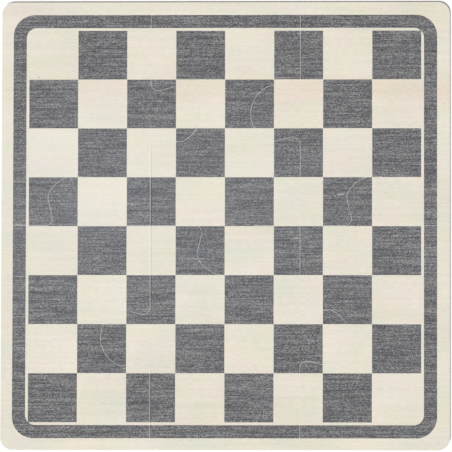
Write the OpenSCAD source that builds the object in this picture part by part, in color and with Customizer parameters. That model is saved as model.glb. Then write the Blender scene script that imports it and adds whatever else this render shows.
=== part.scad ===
// Jigsaw checkerboard of thin plywood: a board for chess and checkers, cut right through into
// six interlocking pieces, three across and two down. The dark squares and the border band are
// one thin coat of ink on the face, so each piece carries its own share of the print.
// Millimetres. The board lies flat on z = 0, centred on the origin, with its printed face up.

/* [Playing field] */
// Side of one playing square
cell = 25; // [20:0.5:50]
// Bare line kept between dark squares, shared by the two that meet at a corner
square_gap = 0.1; // [0.05:0.05:1]

/* [Border] */
// Bare strip between the playing field and the border band
band_gap = 1.4; // [0.8:0.05:3]
// Width of the border band
band_w = 6.65; // [3:0.05:10]
// Bare wood between the border band and the edge of the board
margin = 6.25; // [3:0.05:15]
// Outer corner radius of the border band
band_outer_r = 10.8; // [7:0.1:16]
// Inner corner radius of the border band
band_inner_r = 5.2; // [2:0.1:6]

/* [Plywood] */
// Thickness of the plywood
board_t = 3; // [2:0.1:8]
// Corner radius of the whole board
board_corner_r = 6; // [2:0.1:12]

/* [Saw cut] */
// Width of wood that the cut between two pieces took away
kerf = 0.05; // [0.02:0.01:0.4]

/* [Knobs] */
// How far a knob stands out past its seam
knob_reach = 25.3; // [22:0.1:29]
// Width of a knob at its widest
knob_w = 28.6; // [24:0.1:29.8]
// How much longer the radius of the broad front is than half of the knob's width
knob_front_flatness = 1; // [0.6:0.1:6]
// Radius of the two shoulders, where the front turns into the neck
knob_shoulder_r = 5.1; // [3:0.1:7]
// Radius of the hollow where the neck runs out into the seam
knob_hollow_r = 3.7; // [2:0.1:5]
// Lean of the sides of the neck
knob_lean = 14; // [8:0.5:20]

/* [Ink] */
// Thickness of the coat of ink
ink_t = 0.05; // [0.02:0.01:0.2]
// Bare face between the coat of ink and the edge of a cut
ink_setback = 0.06; // [0:0.01:0.5]
// How far the print sits to the right of the middle of the board
print_right = -0.25; // [-1:0.05:1]
// How far the print sits above the middle of the board
print_up = -0.25; // [-1:0.05:1]

/* [Hidden] */
$fn = 96;

wood_colour = "#e6dfcd";
ink_colour = "#76757a";

// The board: eight squares each way inside the band and the margin
squares = 8;
field_w = squares * cell;
band_inner_w = field_w + 2 * band_gap;
band_outer_w = band_inner_w + 2 * band_w;
board_w = band_outer_w + 2 * margin;

// The cuts: columns are numbered from the left and rows from the bottom
columns = 3;
rows = 2;
piece_w = board_w / columns;
piece_d = board_w / rows;
left = 0;
right = columns - 1;
middle = (left + right) / 2;
bottom = 0;
top = rows - 1;

// Stretches of an outline that run smoothly into each other cross by this much where they meet
lap = 0.002;

// The knob is drawn with its seam on y = 0 and its front towards +y. Its outline is one broad
// front arc, two shoulder arcs, two straight leaning sides and two hollow arcs, each tangent to
// the next, so a wider or narrower copy has the same centres and only other radii. The foot of
// the knob reaches back past the seam by root.
knob_front_r = knob_w / 2 + knob_front_flatness;
front = [0, knob_reach - knob_front_r];
shoulder_x = knob_w / 2 - knob_shoulder_r;
shoulder_y = front.y + sqrt(pow(knob_front_r - knob_shoulder_r, 2) - pow(shoulder_x, 2));
shoulder = [shoulder_x, shoulder_y];
hollow_y = knob_hollow_r - lap;
hollow_x = (shoulder_x * cos(knob_lean) - shoulder_y * sin(knob_lean) + knob_shoulder_r
    + hollow_y * sin(knob_lean) + knob_hollow_r) / cos(knob_lean);
hollow = [hollow_x, hollow_y];
side_out = [cos(knob_lean), -sin(knob_lean)];
root = knob_hollow_r;

// A seam's knob points right or up where this is 1, and left or down where it is -1
function upright_seam_knob(seam, row) = (seam + row) % 2 == 1 ? 1 : -1;
function level_seam_knob(col) = col % 2 == 0 ? 1 : -1;

// Every knob of a piece: the turn that takes +y to that side, how far out the seam is, and 1
// where the knob is the piece's own or -1 where it is the neighbour's and the piece is hollow
function knobs(col, row) = concat(
    row < rows - 1 ? [[0, piece_d / 2, level_seam_knob(col)]] : [],
    col > 0 ? [[90, piece_w / 2, -upright_seam_knob(col - 1, row)]] : [],
    row > 0 ? [[180, piece_d / 2, -level_seam_knob(col)]] : [],
    col < columns - 1 ? [[270, piece_w / 2, upright_seam_knob(col, row)]] : []
);

// The same point on the left of the knob
function flipped(p) = [-p.x, p.y];

// The front arc of the knob, as the wedge that lies between the two shoulders
module knob_front(grow) {
    reach = knob_front_r / (shoulder.y - front.y) + 1;
    tip = front + reach * (shoulder - front);
    intersection() {
        translate(front)
            circle(knob_front_r + grow - lap);
        polygon([front, tip, flipped(tip)]);
    }
}

// The neck, from behind the seam to the middles of the shoulders. Below each leaning side its
// edge turns square to that side and runs to the middle of the hollow, which cuts it away.
module knob_neck(grow) {
    side_low = hollow - (knob_hollow_r - grow - lap) * side_out;
    side_high = shoulder + (knob_shoulder_r + grow - lap) * side_out;
    half = [[hollow.x, -root], hollow, side_low, side_high, shoulder];
    polygon(concat(half, [for (i = [len(half) - 1 : -1 : 0]) flipped(half[i])]));
}

// One whole knob, drawn larger by grow all round
module knob(grow) {
    difference() {
        union() {
            knob_front(grow);
            knob_neck(grow);
            for (round_centre = [shoulder, flipped(shoulder)])
                translate(round_centre)
                    circle(knob_shoulder_r + grow);
        }
        for (round_centre = [hollow, flipped(hollow)])
            translate(round_centre)
                circle(knob_hollow_r - grow);
    }
}

// What rounding by radius r takes off the corner of a plate: x and y are 1 or -1 and say which
// way the corner points from the centre of its round, which is the origin
module corner_waste(r, x, y) {
    beyond = 2 * r;
    difference() {
        translate([x < 0 ? -beyond : 0, y < 0 ? -beyond : 0])
            square(beyond);
        circle(r + lap);
    }
}

// The rectangle of a piece round its own middle, inside its seams and the edge of the board.
// Where the piece holds a corner of the board, that corner is round.
module plate(col, row, grow) {
    x_low = -piece_w / 2 - grow + (col > 0 ? kerf / 2 : 0);
    x_high = piece_w / 2 + grow - (col < columns - 1 ? kerf / 2 : 0);
    y_low = -piece_d / 2 - grow + (row > 0 ? kerf / 2 : 0);
    y_high = piece_d / 2 + grow - (row < rows - 1 ? kerf / 2 : 0);
    difference() {
        translate([x_low, y_low])
            square([x_high - x_low, y_high - y_low]);
        if (col == 0 || col == columns - 1) {
            x = col == 0 ? -1 : 1;
            y = row == 0 ? -1 : 1;
            translate([x * (piece_w / 2 - board_corner_r), y * (piece_d / 2 - board_corner_r)])
                corner_waste(board_corner_r + grow, x, y);
        }
    }
}

// A knob's own frame on one side of a piece
module on_side(side) {
    rotate(side[0])
        translate([0, side[1]])
            children();
}

// The outline of one jigsaw piece in its place on the board, drawn larger by grow all round
module piece_outline(col, row, grow) {
    translate([(col - (columns - 1) / 2) * piece_w, (row - (rows - 1) / 2) * piece_d])
        difference() {
            union() {
                plate(col, row, grow);
                for (side = knobs(col, row))
                    if (side[2] == 1)
                        on_side(side)
                            knob(grow - kerf / 2);
            }
            for (side = knobs(col, row))
                if (side[2] == -1)
                    on_side(side)
                        mirror([0, 1])
                            knob(kerf / 2 - grow);
        }
}

module rounded_square(w, r) {
    difference() {
        square(w, center = true);
        for (x = [-1, 1], y = [-1, 1])
            translate([x * (w / 2 - r), y * (w / 2 - r)])
                corner_waste(r, x, y);
    }
}

// The square at the upper left and the one at the lower right are bare wood
module dark_squares() {
    for (across = [0 : squares - 1], up = [0 : squares - 1])
        if ((across + up) % 2 == 0)
            translate([(across - squares / 2 + 0.5) * cell, (up - squares / 2 + 0.5) * cell])
                square(cell - square_gap, center = true);
}

module border_band() {
    difference() {
        rounded_square(band_outer_w, band_outer_r);
        rounded_square(band_inner_w, band_inner_r);
    }
}

// The share of the print that one piece carries, stopping short of its edges
module ink_on(col, row) {
    translate([0, 0, board_t])
        linear_extrude(ink_t)
            intersection() {
                piece_outline(col, row, -ink_setback);
                translate([print_right, print_up]) {
                    dark_squares();
                    border_band();
                }
            }
}

module wooden_piece(col, row) {
    linear_extrude(board_t)
        piece_outline(col, row, 0);
}

module piece_top_left() {
    color(wood_colour)
        wooden_piece(left, top);
}

module piece_top_middle() {
    color(wood_colour)
        wooden_piece(middle, top);
}

module piece_top_right() {
    color(wood_colour)
        wooden_piece(right, top);
}

module piece_bottom_left() {
    color(wood_colour)
        wooden_piece(left, bottom);
}

module piece_bottom_middle() {
    color(wood_colour)
        wooden_piece(middle, bottom);
}

module piece_bottom_right() {
    color(wood_colour)
        wooden_piece(right, bottom);
}

module print_top_left() {
    color(ink_colour)
        ink_on(left, top);
}

module print_top_middle() {
    color(ink_colour)
        ink_on(middle, top);
}

module print_top_right() {
    color(ink_colour)
        ink_on(right, top);
}

module print_bottom_left() {
    color(ink_colour)
        ink_on(left, bottom);
}

module print_bottom_middle() {
    color(ink_colour)
        ink_on(middle, bottom);
}

module print_bottom_right() {
    color(ink_colour)
        ink_on(right, bottom);
}

piece_top_left();
piece_top_middle();
piece_top_right();
piece_bottom_left();
piece_bottom_middle();
piece_bottom_right();
print_top_left();
print_top_middle();
print_top_right();
print_bottom_left();
print_bottom_middle();
print_bottom_right();
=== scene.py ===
"""Looks, floor, light and camera for a jigsaw checkerboard of thin printed plywood."""

import math

import bpy
import numpy as np
from bpy.props import FloatProperty, FloatVectorProperty, PointerProperty
from mathutils import Euler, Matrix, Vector


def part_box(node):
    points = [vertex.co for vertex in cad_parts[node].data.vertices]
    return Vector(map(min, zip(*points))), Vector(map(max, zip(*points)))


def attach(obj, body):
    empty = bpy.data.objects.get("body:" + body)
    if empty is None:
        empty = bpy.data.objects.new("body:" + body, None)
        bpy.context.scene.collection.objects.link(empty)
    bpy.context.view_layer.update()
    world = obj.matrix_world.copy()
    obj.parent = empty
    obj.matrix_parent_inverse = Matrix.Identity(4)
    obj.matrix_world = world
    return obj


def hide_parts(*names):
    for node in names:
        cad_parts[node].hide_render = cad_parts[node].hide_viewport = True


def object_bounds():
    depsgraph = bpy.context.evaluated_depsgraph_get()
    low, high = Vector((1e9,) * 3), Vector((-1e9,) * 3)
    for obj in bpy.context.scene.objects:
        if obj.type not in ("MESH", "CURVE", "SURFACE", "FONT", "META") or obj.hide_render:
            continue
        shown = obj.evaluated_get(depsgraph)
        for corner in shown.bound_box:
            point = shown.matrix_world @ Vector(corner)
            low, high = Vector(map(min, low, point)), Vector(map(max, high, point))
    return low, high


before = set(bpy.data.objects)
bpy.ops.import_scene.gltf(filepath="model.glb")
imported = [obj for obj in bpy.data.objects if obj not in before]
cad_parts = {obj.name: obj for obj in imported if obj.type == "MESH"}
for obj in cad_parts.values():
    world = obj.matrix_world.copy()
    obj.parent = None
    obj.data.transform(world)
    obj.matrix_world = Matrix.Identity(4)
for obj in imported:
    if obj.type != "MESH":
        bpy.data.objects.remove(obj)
cad_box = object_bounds()

bl_info = {
    "name": "Jigsaw checkerboard",
    "version": (1, 0, 0),
    "blender": (4, 5, 0),
    "location": "View3D > Sidebar > Checkerboard",
    "description": "Dresses a checkerboard that is cut into six interlocking plywood pieces",
    "category": "Object",
}

MM = 0.001
COLUMNS = ("left", "middle", "right")
ROWS = ("bottom", "top")
BOARD_W = float(cad_box[1][0] - cad_box[0][0])
BOARD_T = float(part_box("piece_top_left")[1][2])

# Points on each arc of an outline, and on the rounding of an edge
HOLLOW_POINTS = 15
SHOULDER_POINTS = 11
FRONT_POINTS = 45
CORNER_POINTS = 17
EDGE_POINTS = 5

# Faces that meet at more than this angle keep a sharp edge between them
SHARP_ANGLE = math.radians(40)

# How far a new piece's box may be off its solid's
BOX_TOLERANCE = 0.05 * MM

# Places of a plywood piece's materials: on face and back, on the cut wall, and beside the cut
VENEER, WALL, STRIP = range(3)

# The floor's side, how far it lies below the board, and the lamp's distance, in metres
FLOOR_W = 4.0
FLOOR_DROP = 0.01 * MM
LAMP_DISTANCE = 1.0

# Width of the camera's sensor in millimetres, as its lens is given
SENSOR_W = 36.0


def node_name(kind, col, row):
    """Name of a piece's wood or print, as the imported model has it."""
    return f"{kind}_{ROWS[row]}_{COLUMNS[col]}"


def linear(hex_colour):
    """An sRGB hex colour as linear red, green and blue."""
    levels = np.array([int(hex_colour[at:at + 2], 16) for at in (1, 3, 5)]) / 255
    return tuple(np.where(levels <= 0.04045, levels / 12.92, ((levels + 0.055) / 1.055) ** 2.4))


def length(name, description, default_mm, low=0.0):
    """A size that is typed in millimetres and kept in metres."""
    return FloatProperty(
        name=name, description=description, default=default_mm * MM, min=low,
        unit="LENGTH", precision=5)


def degrees(name, description, default_degrees):
    """An angle that is typed in degrees and kept in radians."""
    return FloatProperty(
        name=name, description=description, default=math.radians(default_degrees),
        subtype="ANGLE")


def colour(name, description, default_hex):
    """A colour that is typed as sRGB hex and kept as linear values."""
    return FloatVectorProperty(
        name=name, description=description, default=linear(default_hex), min=0.0, max=1.0,
        size=3, subtype="COLOR")


class CutSettings(bpy.types.PropertyGroup):
    """Sizes of the jigsaw cut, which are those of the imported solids."""

    board_width: FloatProperty(
        name="Board width", description="Side of the whole square board",
        default=BOARD_W, min=0.0, unit="LENGTH", precision=5)
    thickness: FloatProperty(
        name="Thickness", description="Thickness of the plywood",
        default=BOARD_T, min=0.0, unit="LENGTH", precision=5)
    corner_radius: length("Corner radius", "Radius of the board's four corners", 6.0)
    kerf: length("Kerf", "Width of wood that the cut took away", 0.05)
    knob_reach: length("Knob reach", "How far a knob stands out past its seam", 25.3)
    knob_width: length("Knob width", "Width of a knob at its widest", 28.6)
    front_flatness: length(
        "Front flatness", "How much longer the front's radius is than half of the width", 1.0)
    shoulder_radius: length("Shoulder radius", "Radius where the front turns to the neck", 5.1)
    hollow_radius: length("Hollow radius", "Radius where the neck runs out into the seam", 3.7)
    lean: degrees("Lean", "Lean of the sides of the neck", 14)
    edge_rounding: length("Edge rounding", "Radius of the worn upper and lower edges", 0.02)
    # The strip's near-white colour is partly the pressed fibres' own and partly a painted
    # highlight
    lip: length("Pressed lip", "Width of the strip by the cut that is pressed pale", 0.1)


class PlywoodSettings(bpy.types.PropertyGroup):
    """Colours of the bare plywood."""

    veneer_warm: colour("Warm veneer", "Rosy patches of the face veneer", "#e9dfd2")
    veneer_cool: colour("Cool veneer", "Greenish patches of the face veneer", "#e1dfcd")
    core: colour("Core", "End grain of the middle ply", "#cfbf9f")
    glue: colour("Glue line", "Line of glue between two plies", "#b39f7c")
    # Partly the pressed fibres' own paleness, partly a painted highlight along the cut
    pressed: colour("Pressed fibres", "Strip that the die pressed along the cut", "#fbfaf6")


class InkSettings(bpy.types.PropertyGroup):
    """Colours of the printed ink."""

    thick: colour("Thick ink", "Ink where it lies thickest, between the fibres", "#3f3f45")
    thin: colour("Thin ink", "Ink where the raised fibres show through", "#a9a8a6")


class StageSettings(bpy.types.PropertyGroup):
    """Floor, light and camera."""

    floor: colour("Floor", "Colour of the plain floor", "#fefefe")
    sky: FloatProperty(
        name="Sky", description="Strength of the even light from all round",
        default=0.27, min=0.0)
    lamp: FloatProperty(
        name="Lamp", description="Strength of the one lamp that gives the shadow",
        default=2.44, min=0.0)
    lamp_near: degrees("Lamp near", "How far the lamp leans out over the near edge", 18.5)
    lamp_left: degrees("Lamp left", "How far the lamp leans out over the left-hand edge", 8.5)
    lamp_width: degrees("Lamp width", "How wide the lamp is, as seen from the board", 1.5)
    lens: FloatProperty(
        name="Lens", description="Focal length of the camera, in millimetres",
        default=500.0, min=1.0)
    view_width: length("View width", "Width of the picture at the board's face", 230.1)
    aim_x: length(
        "Aim right", "How far right of the board's middle the camera aims", 0.4, low=-1.0)
    aim_y: length(
        "Aim up", "How far above the board's middle the camera aims", -0.19, low=-1.0)
    lean_near: degrees("Lean near", "How far the camera leans out over the near edge", 4.3)
    lean_right: degrees(
        "Lean right", "How far the camera leans out over the right-hand edge", 2.1)
    roll: degrees("Roll", "How far the camera is turned to the left about its aim", 0.15)


# Shapes


def arc(centre, radius, start, end, count):
    """Points centre + radius * (cos a, sin a), where a runs evenly from start to end degrees."""
    angle = np.radians(np.linspace(start, end, count))
    return np.asarray(centre) + radius * np.column_stack([np.cos(angle), np.sin(angle)])


def knob_outline(cut, grow):
    """One knob from its right foot to its left foot, with its seam on y = 0 and its front to +y.

    A hollow arc turns up out of the seam, a straight side leans outwards, a shoulder arc turns
    inwards, and one broad front arc closes the head. Neighbouring arcs touch without a kink, so
    an outline larger by grow keeps all centres: shoulders and front gain grow, hollows lose it.
    """
    front_r = cut.knob_width / 2 + cut.front_flatness
    shoulder_r = cut.shoulder_radius
    hollow_r = cut.hollow_radius
    cosine, sine = math.cos(cut.lean), math.sin(cut.lean)
    front_y = cut.knob_reach - front_r
    shoulder_x = cut.knob_width / 2 - shoulder_r
    rise = math.sqrt((front_r - shoulder_r) ** 2 - shoulder_x ** 2)
    shoulder_y = front_y + rise
    hollow_x = (shoulder_x * cosine - shoulder_y * sine + shoulder_r
                + hollow_r * sine + hollow_r) / cosine
    lean = math.degrees(cut.lean)
    join = math.degrees(math.atan2(rise, shoulder_x))
    right_half = np.vstack([
        arc((hollow_x, hollow_r), hollow_r - grow, 270, 180 - lean, HOLLOW_POINTS),
        arc((shoulder_x, shoulder_y), shoulder_r + grow, -lean, join, SHOULDER_POINTS),
    ])
    head = arc((0, front_y), front_r + grow, join, 180 - join, FRONT_POINTS)[1:-1]
    left_half = (right_half * (-1, 1))[::-1]
    return np.vstack([right_half, head, left_half])


def knobs_of(col, row):
    """What each side of a piece is: 1 a knob, -1 a hollow and 0 an outer edge of the board.

    A side is named by its turn from +y in degrees. Knobs point right and left by turns from one
    upright seam to the next, and up and down by turns along the level seam.
    """
    def upright(seam):
        return 1 if (seam + row) % 2 else -1
    level = -1 if col % 2 else 1
    return {
        180: -level if row > 0 else 0,
        270: upright(col) if col < len(COLUMNS) - 1 else 0,
        0: level if row < len(ROWS) - 1 else 0,
        90: -upright(col - 1) if col > 0 else 0,
    }


def piece_outline(cut, col, row, inset):
    """The closed outline of one jigsaw piece, anticlockwise and drawn in by inset all round.

    Each side is its knob or hollow, turned and moved into place, and then comes the corner that
    ends the side: a quarter circle on a corner of the board and else a point. On a seam the
    edge keeps half of the kerf away from the middle of the cut.
    """
    half = {0: cut.board_width / len(ROWS) / 2, 90: cut.board_width / len(COLUMNS) / 2}
    kinds = knobs_of(col, row)
    stretches = []
    for turn, after, (corner_x, corner_y) in (
            (180, 270, (1, -1)), (270, 0, (1, 1)), (0, 90, (-1, 1)), (90, 180, (-1, -1))):
        kind = kinds[turn]
        if kind:
            path = knob_outline(cut, -kind * (cut.kerf / 2 + inset)) * (1, kind)
            path = path + (0, half[turn % 180])
            cosine, sine = math.cos(math.radians(turn)), math.sin(math.radians(turn))
            stretches.append(path @ np.array([[cosine, sine], [-sine, cosine]]))
        if kind == 0 and kinds[after] == 0:
            middle = (corner_x * (half[90] - cut.corner_radius),
                      corner_y * (half[0] - cut.corner_radius))
            stretches.append(
                arc(middle, cut.corner_radius - inset, turn + 90, turn + 180, CORNER_POINTS))
        else:
            across, along = (after, turn) if turn % 180 == 0 else (turn, after)
            gap_x = cut.kerf / 2 if kinds[across] else 0
            gap_y = cut.kerf / 2 if kinds[along] else 0
            stretches.append([[corner_x * (half[90] - gap_x - inset),
                               corner_y * (half[0] - gap_y - inset)]])
    centre = ((col - (len(COLUMNS) - 1) / 2) * 2 * half[90],
              (row - (len(ROWS) - 1) / 2) * 2 * half[0])
    return np.vstack(stretches) + centre


def edge_profile(cut):
    """Inset and height from the face to the back: inset r(1 - sin a), height t - r(1 - cos a).

    The angle a goes from 0 to 90 degrees over the upper edge, after a flat strip that starts at
    the lip's inset. Under the straight wall the lower edge repeats both upside down.
    """
    angle = np.linspace(0, np.pi / 2, EDGE_POINTS)
    inset = np.append(cut.lip, cut.edge_rounding * (1 - np.sin(angle)))
    drop = np.append(0.0, cut.edge_rounding * (1 - np.cos(angle)))
    return (np.concatenate([inset, inset[::-1]]),
            np.concatenate([cut.thickness - drop, drop[::-1]]))


def jigsaw_solid(name, cut, col, row):
    """A closed solid: the edge profile carried along the outline, with a flat face and back.

    Ring k is the outline drawn in by the profile's k-th inset, laid at its k-th height. Each
    ring is joined to the next by four-sided faces, and the first and last are filled.
    """
    insets, heights = edge_profile(cut)
    rings = np.stack([piece_outline(cut, col, row, inset) for inset in insets])
    count = rings.shape[1]
    levels = np.broadcast_to(heights[:, None, None], rings.shape[:2] + (1,))
    points = np.concatenate([rings, levels], axis=2).reshape(-1, 3)
    here = np.arange(count)
    after = np.roll(here, -1)
    ring = np.arange(len(heights) - 1)[:, None] * count
    walls = np.stack([here + ring + count, after + ring + count, after + ring, here + ring],
                     axis=2).reshape(-1, 4)
    back = here[::-1] + count * (len(heights) - 1)
    mesh = bpy.data.meshes.new(name)
    mesh.from_pydata(points.tolist(), [], walls.tolist() + [here.tolist(), back.tolist()])
    # The straight wall is the middle one of the bands between the rings
    slots = np.full(len(heights) - 1, STRIP)
    slots[len(slots) // 2] = WALL
    slots = np.append(np.repeat(slots, count), (VENEER, VENEER)).astype(np.int32)
    mesh.polygons.foreach_set("use_smooth", slots != VENEER)
    mesh.polygons.foreach_set("material_index", slots)
    mesh.set_sharp_from_angle(angle=SHARP_ANGLE)
    mesh.validate()
    return mesh


def must_match(piece, node):
    """Stops the script where a new piece's box is further off its solid's than the tolerance."""
    points = np.empty(len(piece.data.vertices) * 3)
    piece.data.vertices.foreach_get("co", points)
    points = points.reshape(-1, 3)
    low, high = (np.array(corner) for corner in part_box(node))
    off = max(np.abs(points.min(axis=0) - low).max(), np.abs(points.max(axis=0) - high).max())
    if off > BOX_TOLERANCE:
        raise ValueError(f"{piece.name} is {off / MM:.3f} mm off {node}")


# Materials


def add(tree, kind, inputs, **settings):
    """Adds a node with its settings; each input takes a value or a link from a socket.

    A colour is given by its red, green and blue alone.
    """
    made = tree.nodes.new(kind)
    for name, value in settings.items():
        setattr(made, name, value)
    for key, value in inputs.items():
        socket = made.inputs[key]
        if isinstance(value, bpy.types.NodeSocket):
            tree.links.new(value, socket)
        elif socket.type == "RGBA":
            socket.default_value = (*value, 1.0)
        else:
            socket.default_value = value
    return made


def new_material(name):
    """An empty material, its node tree and the object's own coordinates."""
    material = bpy.data.materials.new(name)
    material.use_nodes = True
    tree = material.node_tree
    tree.nodes.clear()
    place = add(tree, "ShaderNodeTexCoord", {}).outputs["Object"]
    return material, tree, place


def stretched(tree, place, size_mm, seed):
    """Coordinates in which size_mm along X, Y and Z is 1 each way, moved by the seed."""
    return add(tree, "ShaderNodeMapping", {
        "Vector": place, "Location": (seed, seed * 1.7, seed * 2.3),
        "Scale": [1 / (size * MM) for size in size_mm]}).outputs[0]


def fibres(tree, place, size_mm, seed, detail=0.0):
    """Values near 0.5 in soft flecks, each about size_mm long in X, Y and Z."""
    return add(tree, "ShaderNodeTexNoise", {
        "Vector": stretched(tree, place, size_mm, seed), "Scale": 1.0,
        "Detail": detail}).outputs[0]


def slivers(tree, place, size_mm, seed):
    """A random value around 0.5 on each of many slivers, about size_mm long in X, Y and Z."""
    return add(tree, "ShaderNodeTexVoronoi", {
        "Vector": stretched(tree, place, size_mm, seed), "Scale": 1.0}).outputs["Color"]


def glow(tree, place, centre_mm, reach_mm):
    """1 at a place on the board, at any height, falling smoothly to 0 at reach_mm from it."""
    scale = [1 / (reach * MM) for reach in reach_mm]
    moved = add(tree, "ShaderNodeMapping", {
        "Vector": place, "Scale": (scale[0], scale[1], 0.0),
        "Location": (-centre_mm[0] * MM * scale[0], -centre_mm[1] * MM * scale[1], 0.0)})
    return add(tree, "ShaderNodeTexGradient", {"Vector": moved.outputs[0]},
               gradient_type="QUADRATIC_SPHERE").outputs[1]


def marks(tree, place, spots):
    """1 on small marks of the face and 0 elsewhere, 1 mm below the face too.

    Each spot is x, y, length and width in mm, and a turn in degrees. It has its full strength
    in its inner half and fades out to its rim.
    """
    total = 0.0
    for x, y, long_mm, wide_mm, turn in spots:
        moved = add(tree, "ShaderNodeMapping", {
            "Vector": place, "Location": (x * MM, y * MM, BOARD_T),
            "Rotation": (0.0, 0.0, math.radians(turn)),
            "Scale": (long_mm * MM / 2, wide_mm * MM / 2, MM)}, vector_type="TEXTURE")
        spot = add(tree, "ShaderNodeTexGradient", {"Vector": moved.outputs[0]},
                   gradient_type="SPHERICAL")
        total = add(tree, "ShaderNodeMath", {0: spot.outputs[1], 1: total},
                    operation="MAXIMUM").outputs[0]
    return add(tree, "ShaderNodeMapRange", {0: total, 1: 0.0, 2: 0.5}).outputs[0]


def beside_left_cut(tree, place, off_mm):
    """1 in a thin line beside the straight runs of the left-hand cut, off_mm to its right."""
    cut_x = -BOARD_W / MM / 2 / len(COLUMNS)
    # Five marks in a row span the middle run between the two knobs, and two the lowest run
    return marks(tree, place, [
        (cut_x + off_mm, y, 26, 0.8, 90) for y in (30, 15, 0, -15, -30, -82, -97)])


def weigh(tree, middle, layers):
    """middle plus each layer's weight times how far its value lies from 0.5."""
    total = middle - sum(weight for _, weight in layers) / 2
    for value, weight in layers:
        total = add(tree, "ShaderNodeMath", {0: value, 1: weight, 2: total},
                    operation="MULTIPLY_ADD").outputs[0]
    return total


def stained(tree, base, where, share, hex_colour):
    """The colour base, gone by share of the way to hex_colour where the value where is 1."""
    amount = add(tree, "ShaderNodeMath", {0: where, 1: share}, operation="MULTIPLY").outputs[0]
    return add(tree, "ShaderNodeMix", {0: amount, 6: base, 7: linear(hex_colour)},
               data_type="RGBA").outputs[2]


def tinted(tree, base, where, first, second):
    """The colour base times a tint that goes from first to second as where goes from 0 to 1."""
    tint = add(tree, "ShaderNodeMix", {0: where, 6: first, 7: second},
               data_type="RGBA").outputs[2]
    return add(tree, "ShaderNodeMix", {0: 1.0, 6: base, 7: tint}, data_type="RGBA",
               blend_type="MULTIPLY").outputs[2]


def basswood_veneer(wood):
    """Face and back: basswood veneer, peeled, sanded and left bare.

    Peeling and sanding leave a pale cream face with next to no figure: faint streaks along the
    grain, which runs left to right, over broad patches that lean to rose or to green.
    """
    material, tree, place = new_material("Basswood veneer, sanded")
    # Patches of the tone are 22 x 13 mm. The streaks are growth bands cut flat, 45 mm long and
    # 2.2 mm wide, with fibres between them. Real fibres are 0.03 mm wide, too fine to show, and
    # are drawn 0.5 mm wide. Layers differ between face and back, 3 mm apart.
    patch = weigh(tree, 0.5, [(fibres(tree, place, (22, 13, 1.1), 3.1, 1.0), 2.6)])
    tone = add(tree, "ShaderNodeMix", {0: patch, 6: wood.veneer_warm, 7: wood.veneer_cool},
               data_type="RGBA").outputs[2]
    bands = fibres(tree, place, (45, 2.2, 1.3), 7.7, 1.0)
    fine = fibres(tree, place, (3, 0.5, 1.0), 1.3, 1.0)
    cloud = fibres(tree, place, (34, 26, 1.7), 5.9)
    shade = weigh(tree, 0.99, [(bands, 0.12), (fine, 0.24), (cloud, 0.12)])
    face = add(tree, "ShaderNodeHueSaturation", {"Color": tone, "Value": shade}).outputs[0]
    # Painted sheen: the face is drawn a little whiter in its left half, half way up, where a soft
    # reflection of the light lies
    face = stained(tree, face, glow(tree, place, (-80, 22), (260, 160)), 0.35, "#efece2")
    face = tinted(tree, face, fibres(tree, place, (16, 9, 1.5), 13.7),
                  (1.0, 1.0, 0.95), (1.0, 1.0, 1.05))
    # A faint rosy streak runs along the second row of squares and grows to the right
    face = tinted(tree, face, glow(tree, place, (105, 69.5), (430, 17)),
                  (1.0, 1.0, 1.0), (0.995, 0.915, 0.885))
    # A speck of soot on the upper left square
    face = stained(tree, face, marks(tree, place, [(-95.3, 75.8, 1.5, 0.8, 0)]), 1.0, "#bdb5ab")
    # Along the left-hand cut a painted highlight lies on its left side and a painted shade along
    # its right
    face = stained(tree, face, beside_left_cut(tree, place, -0.35), 0.6, "#faf2e4")
    face = stained(tree, face, beside_left_cut(tree, place, 0.38), 0.18, "#664630")
    height = weigh(tree, 0.5, [(bands, 0.3), (fine, 0.7)])
    bump = add(tree, "ShaderNodeBump", {
        "Strength": 0.25, "Distance": 0.02 * MM, "Height": height}).outputs[0]
    shader = add(tree, "ShaderNodeBsdfPrincipled", {
        "Base Color": face, "Normal": bump, "Roughness": 0.62, "IOR": 1.45,
        "Specular IOR Level": 0.3})
    add(tree, "ShaderNodeOutputMaterial", {"Surface": shader.outputs[0]})
    return material


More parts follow.
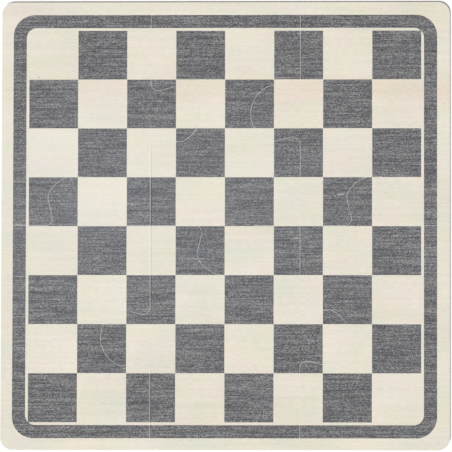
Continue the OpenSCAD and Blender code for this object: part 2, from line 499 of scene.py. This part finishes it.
def plywood_edge(wood, thickness):
    """Cut edge: three plies of basswood glued across each other, cut by a steel rule die.

    The die leaves the edge dull and a little darker than the face. The outer plies show long
    grain, the middle ply shows its end grain, and a thin line of glue lies on each side of it.
    """
    material, tree, place = new_material("Plywood edge, die cut")
    height = add(tree, "ShaderNodeSeparateXYZ", {"Vector": place}).outputs[2]
    # Distance from the middle of the board's thickness, in shares of half the thickness
    share = add(tree, "ShaderNodeMath", {0: height, 1: 2 / thickness, 2: -1.0},
                operation="MULTIPLY_ADD").outputs[0]
    share = add(tree, "ShaderNodeMath", {0: share}, operation="ABSOLUTE").outputs[0]
    # Glue lies at 0.625 of the half thickness, so that the middle ply is 1.9 mm thick and each
    # outer one 0.55 mm. The plies wander by about a twentieth of a millimetre.
    wander = weigh(tree, 0.0, [(fibres(tree, place, (6, 6, 3), 2.2), 0.14)])
    share = add(tree, "ShaderNodeMath", {0: share, 1: wander}, operation="ADD").outputs[0]
    outer = add(tree, "ShaderNodeMapRange", {0: share, 1: 0.60, 2: 0.65}).outputs[0]
    off_glue = add(tree, "ShaderNodeMath", {0: share, 1: 0.625}, operation="SUBTRACT").outputs[0]
    off_glue = add(tree, "ShaderNodeMath", {0: off_glue}, operation="ABSOLUTE").outputs[0]
    glue = add(tree, "ShaderNodeMapRange",
               {0: off_glue, 1: 0.015, 2: 0.045, 3: 0.8, 4: 0.0}).outputs[0]
    # End grain in pores of 0.35 mm, drawn coarser than the real ones of 0.1 mm, which would not
    # show, and long flecks of 3 x 0.3 mm in the outer plies
    pores = fibres(tree, place, (0.35, 0.35, 0.25), 4.4, 1.0)
    flecks = fibres(tree, place, (3, 3, 0.3), 8.8, 1.0)
    layers = add(tree, "ShaderNodeMix", {0: outer, 6: wood.core, 7: wood.veneer_warm},
                 data_type="RGBA").outputs[2]
    layers = add(tree, "ShaderNodeMix", {0: glue, 6: layers, 7: wood.glue},
                 data_type="RGBA").outputs[2]
    shade = weigh(tree, 0.97, [(pores, 0.4), (flecks, 0.2)])
    face = add(tree, "ShaderNodeHueSaturation", {"Color": layers, "Value": shade}).outputs[0]
    bump = add(tree, "ShaderNodeBump", {
        "Strength": 0.3, "Distance": 0.03 * MM, "Height": flecks}).outputs[0]
    shader = add(tree, "ShaderNodeBsdfPrincipled", {
        "Base Color": face, "Normal": bump, "Roughness": 0.75, "IOR": 1.45,
        "Specular IOR Level": 0.3})
    add(tree, "ShaderNodeOutputMaterial", {"Surface": shader.outputs[0]})
    return material


def pressed_fibres_and_highlight(wood):
    """Strip along each cut: fibres that the die pressed flat and slick, drawn near white, partly
    their own paleness and partly a painted highlight where the rounded edge catches the light.
    """
    material, tree, place = new_material("Basswood fibres, pressed by the die, with painted highlight")
    # Fibre ends of 0.4 mm stand out by turns
    shade = weigh(tree, 1.0, [(fibres(tree, place, (0.4, 0.4, 0.4), 5.2, 1.0), 0.15)])
    pale = add(tree, "ShaderNodeHueSaturation",
               {"Color": wood.pressed, "Value": shade}).outputs[0]
    shader = add(tree, "ShaderNodeBsdfPrincipled", {
        "Base Color": pale, "Roughness": 0.5, "IOR": 1.45, "Specular IOR Level": 0.3})
    add(tree, "ShaderNodeOutputMaterial", {"Surface": shader.outputs[0]})
    return material


def screen_printed_ink(ink):
    """Dark squares and band: one coat of charcoal grey ink, screen printed on bare veneer.

    The thin coat sinks between the fibres and stays thin on top of them, so the grain shows as
    pale and dark streaks from left to right. In the left half a painted sheen is drawn as a
    thinner, lighter and bluer coat.
    """
    material, tree, place = new_material("Screen-printed ink on veneer")
    # Real fibres are 0.03 mm wide. Drawn that fine they would all fall into one picture dot, so
    # bundles of them are drawn: streaks of 18 x 0.36 mm, dashes of 2.6 x 0.24 mm and flecks of
    # 0.4 x 0.2 mm, each more or less bare by chance. All are 40 mm deep, so that the pattern is
    # the same through the coat.
    streaks = slivers(tree, place, (18, 0.36, 40), 2.7)
    dashes = slivers(tree, place, (2.6, 0.24, 40), 6.1)
    flecks = slivers(tree, place, (0.4, 0.2, 40), 9.3)
    cloud = fibres(tree, place, (7, 4, 40), 4.9)
    bare = weigh(tree, 0.5, [(streaks, 0.68), (dashes, 0.35), (flecks, 1.5), (cloud, 0.2)])
    # Painted sheen: a soft pool of reflected light in the left half, half way up, drawn as a
    # thinner coat
    thin = glow(tree, place, (-70, 8), (290, 125))
    bare = add(tree, "ShaderNodeMath", {0: thin, 1: 0.06, 2: bare},
               operation="MULTIPLY_ADD").outputs[0]
    coverage = add(tree, "ShaderNodeMapRange", {0: bare, 1: 0.12, 2: 1.45},
                   interpolation_type="SMOOTHSTEP").outputs[0]
    coat = add(tree, "ShaderNodeMix", {0: coverage, 6: ink.thick, 7: ink.thin},
               data_type="RGBA").outputs[2]
    # Painted sheen: in the left half the coat is also drawn lighter and bluer. Elsewhere its tint
    # strays a little.
    coat = stained(tree, coat, thin, 0.2, "#8b8f9c")
    coat = tinted(tree, coat, fibres(tree, place, (8, 4, 40), 11.2, 1.0),
                  (1.04, 1.0, 0.94), (0.96, 1.0, 1.06))
    # Places where the coat was rubbed or never took: two dashes by the right-hand seam, a chip
    # in the band on the right, two hair lines across the band on the left and a few fibres
    worn = marks(tree, place, [
        (36.3, -6.4, 2.6, 0.6, 0), (58.9, 16.0, 4.9, 0.55, 0), (108.0, 13.5, 1.5, 0.8, 60),
        (-105.2, 0.75, 7.4, 0.35, 0), (-105.2, -25.9, 7.4, 0.35, 1),
        (-61.8, -42.8, 3.4, 0.35, 4), (-62.4, -44.0, 2.4, 0.3, -6)])
    coat = stained(tree, coat, worn, 0.8, "#dad7d0")
    # Along the left-hand cut a painted highlight lightens the coat on the left side and a painted
    # shade darkens it on the right
    coat = stained(tree, coat, beside_left_cut(tree, place, -0.35), 0.12, "#dad7d0")
    coat = stained(tree, coat, beside_left_cut(tree, place, 0.38), 0.6, "#1e1e22")
    bump = add(tree, "ShaderNodeBump", {
        "Strength": 0.2, "Distance": 0.02 * MM, "Height": coverage}).outputs[0]
    shader = add(tree, "ShaderNodeBsdfPrincipled", {
        "Base Color": coat, "Normal": bump, "Roughness": 0.6, "IOR": 1.5,
        "Specular IOR Level": 0.3})
    add(tree, "ShaderNodeOutputMaterial", {"Surface": shader.outputs[0]})
    return material


# Operators


class BOARD_OT_plywood_pieces(bpy.types.Operator):
    """Makes the six interlocking plywood pieces, with worn edges and plies in the cut."""

    bl_idname = "checkerboard.plywood_pieces"
    bl_label = "Plywood pieces"

    def execute(self, context):
        cut = context.scene.checkerboard_cut
        wood = context.scene.checkerboard_plywood
        # In the order of VENEER, WALL and STRIP
        materials = (basswood_veneer(wood), plywood_edge(wood, cut.thickness),
                     pressed_fibres_and_highlight(wood))
        for row in range(len(ROWS)):
            for col in range(len(COLUMNS)):
                node = node_name("piece", col, row)
                name = node_name("plywood", col, row)
                piece = bpy.data.objects.new(name, jigsaw_solid(name, cut, col, row))
                context.scene.collection.objects.link(piece)
                must_match(piece, node)
                for material in materials:
                    piece.data.materials.append(material)
                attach(piece, "root")
                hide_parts(node)
        return {"FINISHED"}


class BOARD_OT_printed_ink(bpy.types.Operator):
    """Gives the print on the six pieces its coat of charcoal grey ink."""

    bl_idname = "checkerboard.printed_ink"
    bl_label = "Printed ink"

    def execute(self, context):
        coat = screen_printed_ink(context.scene.checkerboard_ink)
        for row in range(len(ROWS)):
            for col in range(len(COLUMNS)):
                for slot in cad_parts[node_name("print", col, row)].material_slots:
                    slot.material = coat
        return {"FINISHED"}


class BOARD_OT_stage(bpy.types.Operator):
    """Lays the board on a plain floor under soft light, and looks down at it."""

    bl_idname = "checkerboard.stage"
    bl_label = "Floor, light and camera"

    def execute(self, context):
        scene = context.scene
        setup = scene.checkerboard_stage
        scene.view_settings.view_transform = "Standard"

        # A square floor, just under the board
        corners = np.array([(-1, -1), (1, -1), (1, 1), (-1, 1)]) * FLOOR_W / 2
        mesh = bpy.data.meshes.new("floor")
        mesh.from_pydata(np.column_stack([corners, np.full(4, -FLOOR_DROP)]).tolist(), [],
                         [(0, 1, 2, 3)])
        floor = bpy.data.objects.new("floor", mesh)
        scene.collection.objects.link(floor)
        material, tree, _ = new_material("Matt white card")
        paint = add(tree, "ShaderNodeBsdfDiffuse", {"Color": setup.floor})
        add(tree, "ShaderNodeOutputMaterial", {"Surface": paint.outputs[0]})
        mesh.materials.append(material)

        # Even light from all round; the camera, gloss and glass see it as plain white
        world = bpy.data.worlds.new("Studio")
        world.use_nodes = True
        scene.world = world
        tree = world.node_tree
        tree.nodes.clear()
        path = add(tree, "ShaderNodeLightPath", {})
        seen = add(tree, "ShaderNodeMath", {
            0: path.outputs["Is Camera Ray"], 1: path.outputs["Is Glossy Ray"]},
            operation="MAXIMUM")
        seen = add(tree, "ShaderNodeMath", {
            0: seen.outputs[0], 1: path.outputs["Is Transmission Ray"]}, operation="MAXIMUM")
        strength = add(tree, "ShaderNodeMapRange", {0: seen.outputs[0], 3: setup.sky, 4: 1.0})
        sky = add(tree, "ShaderNodeBackground", {
            "Color": linear("#ffffff"), "Strength": strength.outputs[0]})
        add(tree, "ShaderNodeOutputWorld", {"Surface": sky.outputs[0]})

        # One lamp, high up on the near side and a little to the left, so that the shadow falls
        # past the far edge and past the right-hand edge
        light = bpy.data.lights.new("Lamp", "SUN")
        light.energy = setup.lamp
        light.angle = setup.lamp_width
        lamp = bpy.data.objects.new("Lamp", light)
        turn = Euler((setup.lamp_near, -setup.lamp_left, 0.0))
        lamp.rotation_euler = turn
        lamp.location = turn.to_matrix() @ Vector((0.0, 0.0, LAMP_DISTANCE))
        scene.collection.objects.link(lamp)

        # Nearly straight above the board, as far off as makes the picture view_width wide there
        camera_data = bpy.data.cameras.new("Camera")
        camera_data.lens = setup.lens
        camera_data.sensor_width = SENSOR_W
        camera_data.clip_start = 10 * MM
        camera = bpy.data.objects.new("Camera", camera_data)
        turn = Euler((setup.lean_near, setup.lean_right, setup.roll))
        away = setup.view_width * setup.lens / camera_data.sensor_width
        aim = Vector((setup.aim_x, setup.aim_y, cad_box[1][2]))
        camera.rotation_euler = turn
        camera.location = aim + turn.to_matrix() @ Vector((0.0, 0.0, away))
        scene.collection.objects.link(camera)
        scene.camera = camera
        return {"FINISHED"}


class BOARD_PT_panel(bpy.types.Panel):
    """Lists the steps that dress the board, each with its sizes and colours."""

    bl_idname = "BOARD_PT_panel"
    bl_label = "Checkerboard"
    bl_space_type = "VIEW_3D"
    bl_region_type = "UI"
    bl_category = "Checkerboard"

    def draw(self, context):
        for step, owners in STEPS:
            box = self.layout.box()
            box.operator(step.bl_idname)
            for owner in owners:
                group = getattr(context.scene, owner)
                for name in group.__annotations__:
                    box.prop(group, name)


# Each step with the names under which the scene holds its settings
STEPS = (
    (BOARD_OT_plywood_pieces, ("checkerboard_cut", "checkerboard_plywood")),
    (BOARD_OT_printed_ink, ("checkerboard_ink",)),
    (BOARD_OT_stage, ("checkerboard_stage",)),
)
GROUPS = {
    "checkerboard_cut": CutSettings,
    "checkerboard_plywood": PlywoodSettings,
    "checkerboard_ink": InkSettings,
    "checkerboard_stage": StageSettings,
}
CLASSES = (*GROUPS.values(), *(step for step, _ in STEPS), BOARD_PT_panel)


def register():
    for cls in CLASSES:
        bpy.utils.register_class(cls)
    for name, group in GROUPS.items():
        setattr(bpy.types.Scene, name, PointerProperty(type=group))


def unregister():
    for name in GROUPS:
        delattr(bpy.types.Scene, name)
    for cls in reversed(CLASSES):
        bpy.utils.unregister_class(cls)


def main():
    register()
    bpy.ops.checkerboard.plywood_pieces()
    bpy.ops.checkerboard.printed_ink()
    bpy.ops.checkerboard.stage()


if __name__ == "__main__":
    main()
